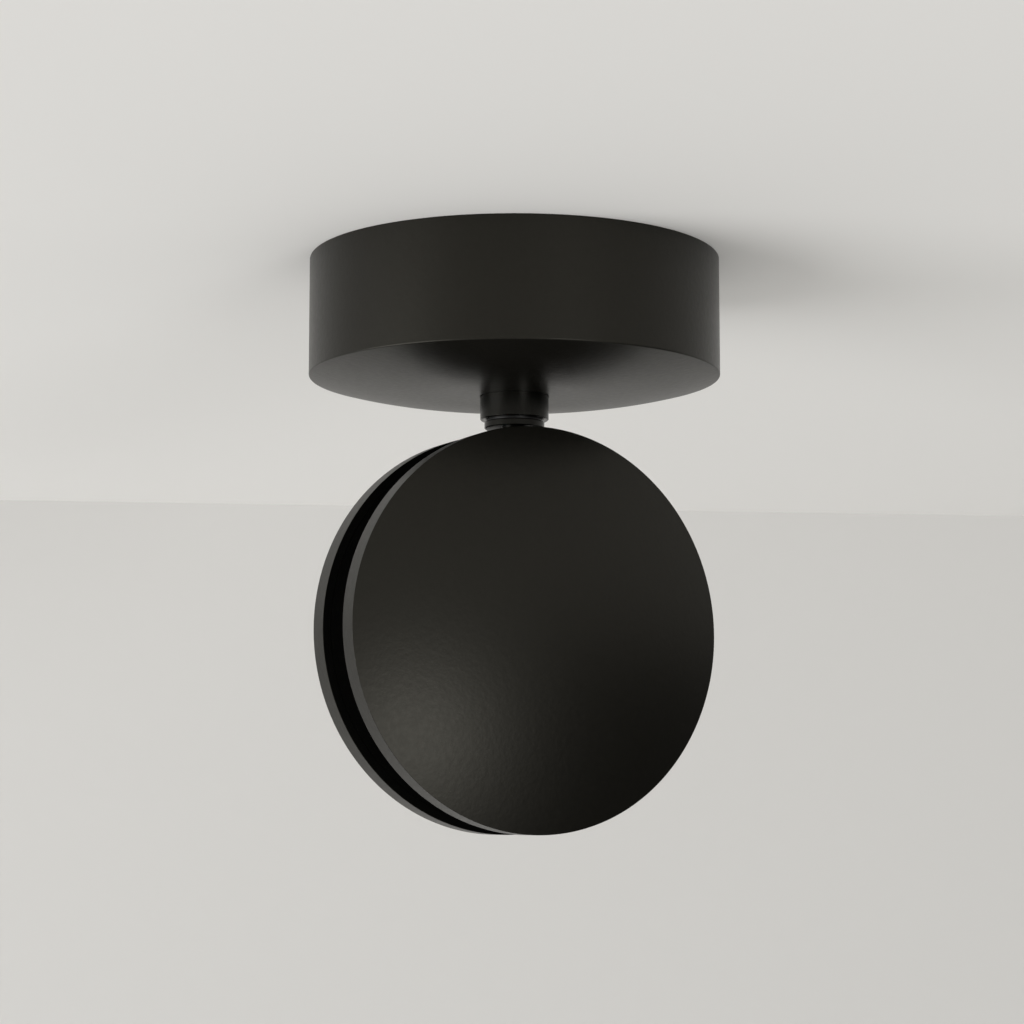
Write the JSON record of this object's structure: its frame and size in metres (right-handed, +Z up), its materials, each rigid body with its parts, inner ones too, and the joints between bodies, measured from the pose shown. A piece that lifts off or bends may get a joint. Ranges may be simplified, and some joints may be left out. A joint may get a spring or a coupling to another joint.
{
  "type": "ceiling lamp",
  "caption": "Surface ceiling lamp: round canopy, short swivel neck and a head of twin domed discs that throws light from the gap between them. Matt charcoal powder coat.",
  "frame": {"origin": "centre of the ceiling plane, on the neck's swivel axis, midway between the ceiling slots", "axes": "+Z up into the ceiling along the swivel axis, +X along the ceiling slots, -Y out of the front disc"},
  "size_m": [0.12, 0.12, 0.1671],
  "materials": {
    "powder_coat": "satin charcoal powder coat",
    "black_anodised": "black anodised, turned",
    "inner_black": "dead matt black",
    "zinc_steel": "bright zinc plated",
    "brass": "machined",
    "tinned_copper": "tin plated",
    "raw_aluminium": "turned",
    "natural_nylon": "moulded",
    "driver_plastic": "moulded, fine spark texture",
    "circuit_board": "solder mask",
    "component_black": "moulded",
    "strip_white": "white solder mask",
    "led_phosphor": "silicone over phosphor",
    "opal_acrylic": "opal, matt outside",
    "foam_tape": "closed-cell foam",
    "friction_nylon": "moulded",
    "brown_insulation": "smooth",
    "blue_insulation": "smooth",
    "earth_insulation": "green and yellow stripes",
    "black_insulation": "smooth"
  },
  "bodies": {
    "canopy": {"canopy_shell": "powder_coat", "ceiling_bracket": "zinc_steel", "nipple_tube": "zinc_steel", "bracket_nuts": "zinc_steel", "lock_washer": "zinc_steel", "nipple_bush": "natural_nylon", "terminal_block": "natural_nylon", "terminal_clamps": "brass", "terminal_screws": "zinc_steel", "terminal_fixing_screw": "zinc_steel", "earth_eyelet": "tinned_copper", "earth_washer": "zinc_steel", "earth_screw": "zinc_steel", "driver_case": "driver_plastic", "driver_cover": "driver_plastic", "driver_board": "circuit_board", "driver_components": "component_black", "driver_pad": "foam_tape", "live_lead": "brown_insulation", "neutral_lead": "blue_insulation", "earth_lead": "earth_insulation", "output_lead": "black_insulation", "adaptor_bush": "brass", "stop_pin": "zinc_steel", "neck_collar": "black_anodised", "lower_friction_washer": "friction_nylon", "upper_friction_washer": "friction_nylon"},
    "head": {"swivel_stem": "black_anodised", "stem_nut": "zinc_steel", "disc_spring": "zinc_steel", "hub": "raw_aluminium", "stem_grub_screw": "zinc_steel", "led_strip": "strip_white", "led_chips": "led_phosphor", "diffuser_ring": "opal_acrylic", "head_cable": "black_insulation", "led_leads": "black_insulation", "front_plate": "inner_black", "rear_plate": "inner_black", "front_plate_screws": "zinc_steel", "rear_plate_screws": "zinc_steel", "front_shell": "powder_coat", "rear_shell": "powder_coat"}
  },
  "joints": [
    {"name": "head_swivel", "type": "hinge", "parent": "canopy", "child": "head", "pos_m": [0, 0, -0.0471], "axis": [0, 0, 1], "range_deg": [-155, 155]}
  ]
}
